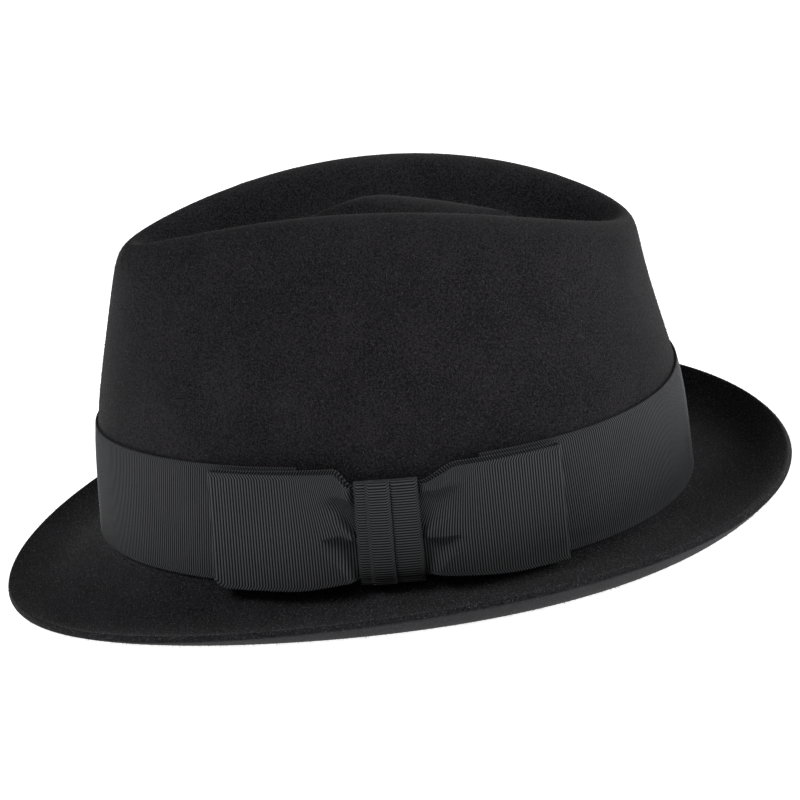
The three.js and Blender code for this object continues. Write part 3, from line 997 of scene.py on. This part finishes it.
@dataclass
class BowKnot:
    """The ribbon wrapped round the bow's waist, in three pleats."""

    seat: Matrix
    wall: CrownWall
    place_y: float = -13.8 * MM
    width: float = 20.8 * MM
    height: float = 35.0 * MM
    middle: float = 18.1 * MM
    near: float = 0.65 * MM  # of the wrap's middle behind the bow, off the felt
    far: float = 5.4 * MM  # and in front of it
    corner: float = 1.6 * MM
    curl_top: float = 0.8 * MM  # how far the front curls in towards its top and its foot
    curl_foot: float = 3.0 * MM
    curl_sharpness: int = 6  # the larger, the closer to its ends the front curls
    lean: float = 0.04  # of the knot's top towards the back of the hat
    taper: float = 0.01  # how much narrower it is at the top, and wider at the foot
    roll: float = 0.75 * MM  # how far each strip's edges sink
    pleats: tuple[Pleat, ...] = (
        Pleat(0.0, 0.3, 0.15 * MM, 0.0),
        Pleat(0.545, 1.0, 0.35 * MM, 0.2 * MM),
        Pleat(0.19, 0.56, 1.35 * MM, 0.3 * MM),
    )

    ROLL_WIDTH = 0.5 * MM  # over which a strip's edge sinks
    SELVEDGE = 1.1 * MM  # of the knot's ribbon
    LEAN = 0.7 * MM
    ROW_SPACING = 0.9 * MM
    ROUNDING = 1e-9  # how far past the end of a leg a place may lie through rounding

    def build(self, material: bpy.types.Material) -> bpy.types.Object:
        """Wrap the knot, one strip for each pleat.

        Args:
            material: The ribbon's material.

        Returns:
            The knot, its strips joined.
        """
        joined = bmesh.new()
        joined.verts.layers.float.new("rib")
        for pleat in self.pleats:
            strip = self._strip(pleat)
            joined.from_mesh(strip.data)
            bpy.data.objects.remove(strip)
        knot = new_piece("bow_knot_wrapped", joined)
        dress(knot, material)
        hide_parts("bow_knot")
        shown = sum(pleat.end - pleat.start for pleat in self.pleats) * self.width
        up, over, bend = self._legs(self.pleats[0])
        return knot

    def _legs(self, pleat: Pleat) -> tuple[float, float, float]:
        """Give the lengths of a strip's straight height, its straight depth and one corner."""
        up = self.height - 2 * Grosgrain.half_thickness - 2 * self.corner
        over = self.far + pleat.lift - self.near - 2 * self.corner
        return up, over, math.pi / 2 * self.corner

    def _strip(self, pleat: Pleat) -> bpy.types.Object:
        """Weave one strip of the knot."""
        width = (pleat.end - pleat.start) * self.width
        weave = Grosgrain(width=width, selvedge=self.SELVEDGE, lean=self.LEAN)
        tall = self.height / 2 - weave.half_thickness
        r = self.corner
        high, near, far = tall - r, self.near + r, self.far + pleat.lift - r
        corners = (far, high), (near, high), (near, -high), (far, -high)
        up, over, bend = self._legs(pleat)
        sides = (up, (1, 0)), (over, (0, 1)), (up, (-1, 0)), (over, (0, -1))
        legs = []
        for i, (straight, out) in enumerate(sides):
            start = tuple(place + r * part for place, part in zip(corners[i - 1], out))
            legs.append((straight, start, (-out[1], out[0]), out))
            legs.append((bend, corners[i], None, out))
        total = sum(leg[0] for leg in legs)

        def path(along: float) -> tuple[float, float, float, float]:
            """Give stand-off, height and the outward direction of a place round the wrap."""
            rest = along
            for length, start, step, out in legs:
                if rest <= length + self.ROUNDING:
                    break
                rest -= length
            if step is not None:
                return start[0] + step[0] * rest, start[1] + step[1] * rest, *out
            angle = math.atan2(out[1], out[0]) + rest / r
            out = math.cos(angle), math.sin(angle)
            return start[0] + r * out[0], start[1] + r * out[1], *out

        def place(along: float, across: float, lift: float) -> Vector:
            """Put a point of the ribbon round the knot."""
            off, height, out, rise = path(min(total, max(0.0, along)))
            share = mix(pleat.start, pleat.end, across)
            breadth = self.width * (1 - self.taper * height / tall)
            y = self.place_y + (share - 0.5) * breadth + self.lean * height
            curl = self.curl_top if height > 0 else self.curl_foot
            sunk = self.roll * math.exp(-min(across, 1 - across) * width / self.ROLL_WIDTH)
            stand = pleat.tilt * across - curl * abs(height / tall) ** self.curl_sharpness - sunk
            stand *= max(0.0, out)
            level = self.middle + height + lift * rise
            point, outward = self.wall.stand_off(self.wall.beside, y, level)
            return self.seat @ (point + outward * (off + stand + lift * out))

        return weave.weave("bow_knot_strip", total, place, self.ROW_SPACING, closed=True)


# The studio


@dataclass(frozen=True)
class Softbox:
    """A square soft light aimed at the hat."""

    name: str
    place: tuple[float, float, float]
    size: float
    power: float


@dataclass
class Studio:
    """The camera at the photograph's angle, a pale floor and soft lights."""

    seat: Matrix
    turn: float = -6.9  # of the camera towards the front of the hat, in degrees
    rise: float = 21.7  # of the camera over the band's plane, in degrees
    roll: float = 5.9
    distance: float = 1.35
    pixels_per_metre: float = 2783.0
    middle: tuple[float, float] = (397.4, 488.0)  # pixel of the middle of the band's plane
    frame_pixels: float = 800.0
    softboxes: tuple[Softbox, ...] = (
        Softbox("front_left", (0.65, -1.4, 2.15), 1.0, 37.0),
        Softbox("back_right", (0.5, 1.8, 0.7), 0.9, 26.0),
        Softbox("over_camera", (1.7, -0.1, 2.0), 1.0, 6.0),
    )
    sky: float = 0.1
    glow: float = 1.0  # of the light table that the hat stands on
    floor_reach: float = 9.0
    floor_colour: Colour = (0.8, 0.8, 0.8, 1)
    sensor_width: float = 36.0  # of the camera, in its lens's units
    sight: float = 50.0  # how far the camera sees
    aim: tuple[float, float, float] = (0, 0, 0.06)  # of the lights

    WHITE = (1, 1, 1, 1)

    def build(self) -> None:
        """Make the camera, the floor, the lights and the surroundings."""
        self._camera()
        self._floor()
        for box in self.softboxes:
            self._light(box)
        world = bpy.data.worlds.new("white_surround")
        world.use_nodes = True
        surround = world.node_tree.nodes["Background"]
        set_inputs(surround, {"Color": self.WHITE, "Strength": self.sky})
        bpy.context.scene.world = world
        bpy.context.scene.view_settings.view_transform = "Standard"

    def _camera(self) -> None:
        """Set the camera where the photograph was taken from."""
        turn, rise, roll = (math.radians(x) for x in (self.turn, self.rise, self.roll))
        right = Vector((-math.sin(turn), math.cos(turn), 0))
        away = Vector((-math.cos(turn), -math.sin(turn), 0))
        forward = away * math.cos(rise) + Vector((0, 0, -math.sin(rise)))
        up = away * math.sin(rise) + Vector((0, 0, math.cos(rise)))
        rolled_right = right * math.cos(roll) - up * math.sin(roll)
        rolled_up = right * math.sin(roll) + up * math.cos(roll)
        focal = self.pixels_per_metre * self.distance
        half = self.frame_pixels / 2
        aim = (
            forward * focal
            + rolled_right * (half - self.middle[0])
            + rolled_up * (self.middle[1] - half)
        ).normalized()
        across = (rolled_right - aim * rolled_right.dot(aim)).normalized()
        over = across.cross(aim)
        turned = Matrix((across, over, -aim)).transposed().to_4x4()
        place = Matrix.Translation(-forward * self.distance)
        data = bpy.data.cameras.new("camera")
        data.sensor_width = self.sensor_width
        data.lens = self.sensor_width * focal / self.frame_pixels
        data.clip_end = self.sight
        camera = bpy.data.objects.new("camera", data)
        camera.matrix_world = self.seat @ place @ turned
        bpy.context.scene.collection.objects.link(camera)
        bpy.context.scene.camera = camera

    def _floor(self) -> None:
        """Lay a plain pale floor under the hat."""
        mesh = bmesh.new()
        bmesh.ops.create_grid(mesh, x_segments=1, y_segments=1, size=self.floor_reach)
        floor = new_piece("pale_floor", mesh)
        material, _, shader = new_material("pale_floor")
        set_inputs(shader, {"Base Color": self.floor_colour, "Roughness": 0.9})
        set_inputs(shader, {"Specular IOR Level": 0.1})
        set_inputs(shader, {"Emission Color": self.WHITE, "Emission Strength": self.glow})
        floor.data.materials.append(material)

    def _light(self, box: Softbox) -> None:
        """Hang one soft light and aim it at the hat."""
        data = bpy.data.lights.new(box.name, "AREA")
        data.size = box.size
        data.energy = box.power
        light = bpy.data.objects.new(box.name, data)
        light.location = box.place
        aim = Vector(self.aim) - light.location
        light.rotation_euler = aim.to_track_quat("-Z", "Y").to_euler()
        bpy.context.scene.collection.objects.link(light)


# The hat


FRONT_GATHER = Gather(
    crease=0.464, valley=0.62, drift=0.5, below=0.3, dip=1.6 * MM, hollow=0.26, reach=0.22
)
REAR_GATHER = Gather(crease=0.43, valley=0.68, drift=0.4, below=0.3, dip=3.0 * MM)
FRONT_SIZES = {
    "heading": -1,
    "reach": 55.9 * MM,
    "stand": 3.6 * MM,
    "upper_opens": 0.14,
    "lower_opens": 0.5,
    "swell": 0.4 * MM,
    "corner": 5 * MM,
    "slip": 0.039,
    "bow_middle": 19.8 * MM,
}
REAR_SIZES = {
    "heading": 1,
    "reach": 58.6 * MM,
    "stand": 1.2 * MM,
    "upper_opens": 0.3,
    "lower_opens": 0.75,
    "swell": 2.0 * MM,
    "corner": 0.4 * MM,
    "slip": -0.014,
    "bow_middle": 19.3 * MM,
}


def main() -> None:
    """Build the hat and the studio, in order."""
    seat = find_seat(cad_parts["ribbon_band"])
    Studio(seat).build()
    hood = FeltHood().build()
    wall = CrownWall(hood, seat)
    ribbon = Grosgrain()
    material = RibbonFinish().build()
    RibbonBand(seat, wall, ribbon).build(material)
    for name, node, gather, sizes in (
        ("bow_front_loop_woven", "bow_front_loop", FRONT_GATHER, FRONT_SIZES),
        ("bow_rear_loop_woven", "bow_rear_loop", REAR_GATHER, REAR_SIZES),
    ):
        BowLoop(name, node, seat, wall, ribbon, gather, **sizes).build(material)
    BowKnot(seat, wall).build(material)


if __name__ == "__main__":
    logging.basicConfig(level=logging.INFO, format="%(name)s: %(message)s")
    main()
